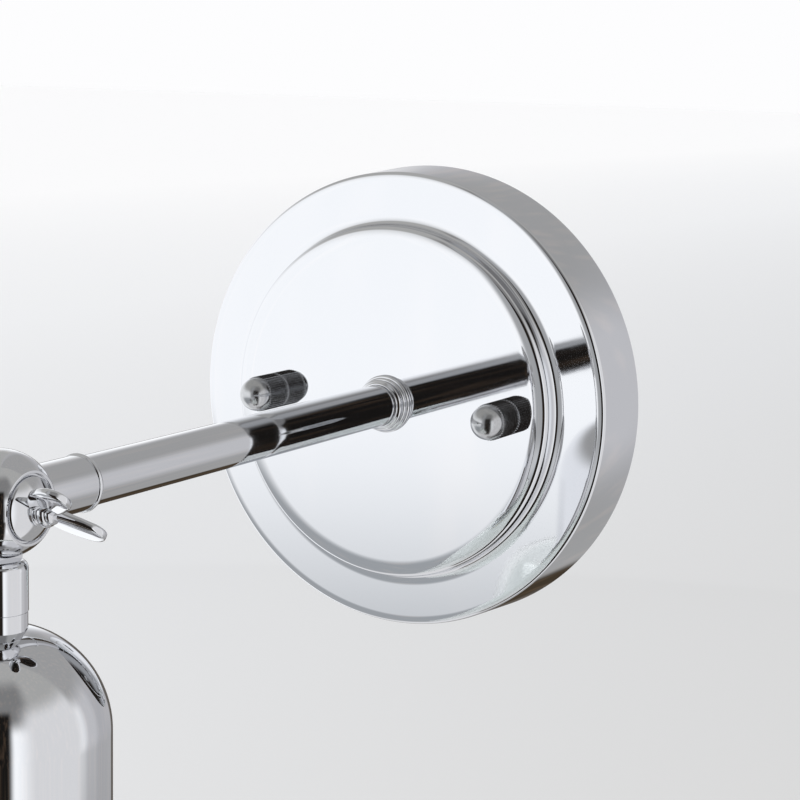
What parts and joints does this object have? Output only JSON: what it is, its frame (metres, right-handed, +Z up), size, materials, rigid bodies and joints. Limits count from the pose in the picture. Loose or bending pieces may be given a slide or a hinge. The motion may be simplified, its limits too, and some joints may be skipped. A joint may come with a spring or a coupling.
{
  "type": "wall sconce",
  "caption": "Wall sconce with a round canopy, a straight arm, a ball knuckle with a wing screw, and a tilting domed socket cup with a clear glass bell shade.",
  "frame": {"origin": "centre of the canopy's back edge, on the wall plane, midway between the two box screw slots", "axes": "+Y into the wall, -Y along the arm into the room, +Z up, +X to the right seen from the room"},
  "size_m": [0.152, 0.2705, 0.2608],
  "materials": {
    "chrome": "polished chrome plate",
    "zinc_steel": "zinc plated steel",
    "brass": "turned brass",
    "nickel": "nickel plated brass",
    "green_screw": "green ground screw",
    "porcelain": "glazed porcelain",
    "fibre": "vulcanised fibre",
    "gasket": "translucent silicone",
    "glass": "clear blown glass"
  },
  "bodies": {
    "wall_arm": {"canopy": "chrome", "wall_bracket": "zinc_steel", "bracket_studs": "zinc_steel", "stud_nuts": "zinc_steel", "cap_nut_left": "chrome", "cap_nut_right": "chrome", "ground_screw": "green_screw", "arm_ferrule": "chrome", "arm_tube": "chrome", "arm_nipple": "brass", "nipple_washer": "zinc_steel", "nipple_nut": "zinc_steel", "knuckle_sleeve": "chrome", "knuckle_ball": "chrome", "friction_washers": "fibre"},
    "head": {"swivel_stem": "chrome", "stem_collar": "chrome", "socket_cup": "chrome", "cup_nipple": "brass", "cup_nut": "zinc_steel", "socket_cap": "zinc_steel", "socket_body": "porcelain", "screw_shell": "nickel", "centre_contact": "brass", "terminal_screws": "brass", "shade_gaskets": "gasket", "shade_ring": "chrome", "glass_shade": "glass"},
    "clamp": {"clamp_washer": "chrome"},
    "thumb_screw": {"wing_screw": "chrome"}
  },
  "joints": [
    {"name": "head_tilt", "type": "hinge", "parent": "wall_arm", "child": "head", "pos_m": [0, -0.1945, 0], "axis": [-1, 0, 0], "range_deg": [-25, 120]},
    {"name": "washer_slide", "type": "slide", "parent": "wall_arm", "child": "clamp", "axis": [1, 0, 0], "range_m": [0, 0.0008]},
    {"name": "wing_turn", "type": "hinge", "parent": "clamp", "child": "thumb_screw", "pos_m": [0.0112, -0.1945, 0], "axis": [1, 0, 0], "range_deg": [0, 360]}
  ],
  "couplings": [
    {"joint": "washer_slide", "follows": "wing_turn", "m_per_rad": 0.0001273}
  ]
}
